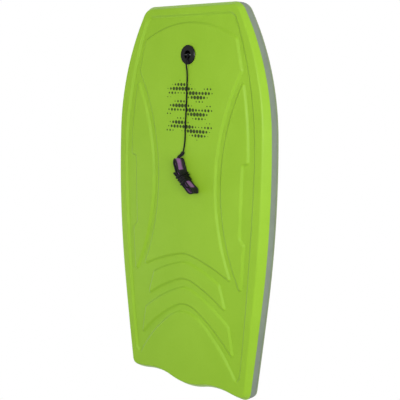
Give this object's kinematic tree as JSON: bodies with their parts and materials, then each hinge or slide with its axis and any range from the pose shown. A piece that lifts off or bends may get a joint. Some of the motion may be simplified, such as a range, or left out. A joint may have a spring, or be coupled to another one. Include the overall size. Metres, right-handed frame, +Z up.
{
  "type": "bodyboard",
  "caption": "Soft-top bodyboard with a contoured deck, wavy tail, bevelled foam rails, a leash plug near the nose and a short cord to a wrist cuff.",
  "frame": {"origin": "middle of the flat bottom, at floor level", "axes": "+Y to the nose, +X to the rider's right, +Z up from the slick bottom to the deck"},
  "size_m": [0.568, 1.075, 0.0922],
  "materials": {
    "deck_foam": "soft foam, matte",
    "core_foam": "expanded foam",
    "bottom_slick": "smooth sheet",
    "rail_foam": "soft foam, matte",
    "plug_plastic": "moulded, glossy",
    "pin_steel": "turned",
    "cord_black": "extruded cord",
    "webbing_black": "woven",
    "strap_black": "foam-backed knit",
    "lining_purple": "soft knit",
    "hook_black": "hook and loop tape"
  },
  "bodies": {
    "root": {"foam_core": "core_foam", "deck_skin": "deck_foam", "bottom_skin": "bottom_slick", "rail_left": "rail_foam", "rail_right": "rail_foam", "nose_rail": "rail_foam", "tail_rail": "rail_foam", "plug_top": "plug_plastic", "plug_base": "plug_plastic", "plug_pin": "pin_steel", "plug_knot": "cord_black", "leash_cord": "cord_black", "webbing_tab": "webbing_black", "cuff_strap": "strap_black", "cuff_lining": "lining_purple", "hook_patch": "hook_black", "loop_patch": "hook_black", "cuff_band": "strap_black"}
  },
  "joints": []
}
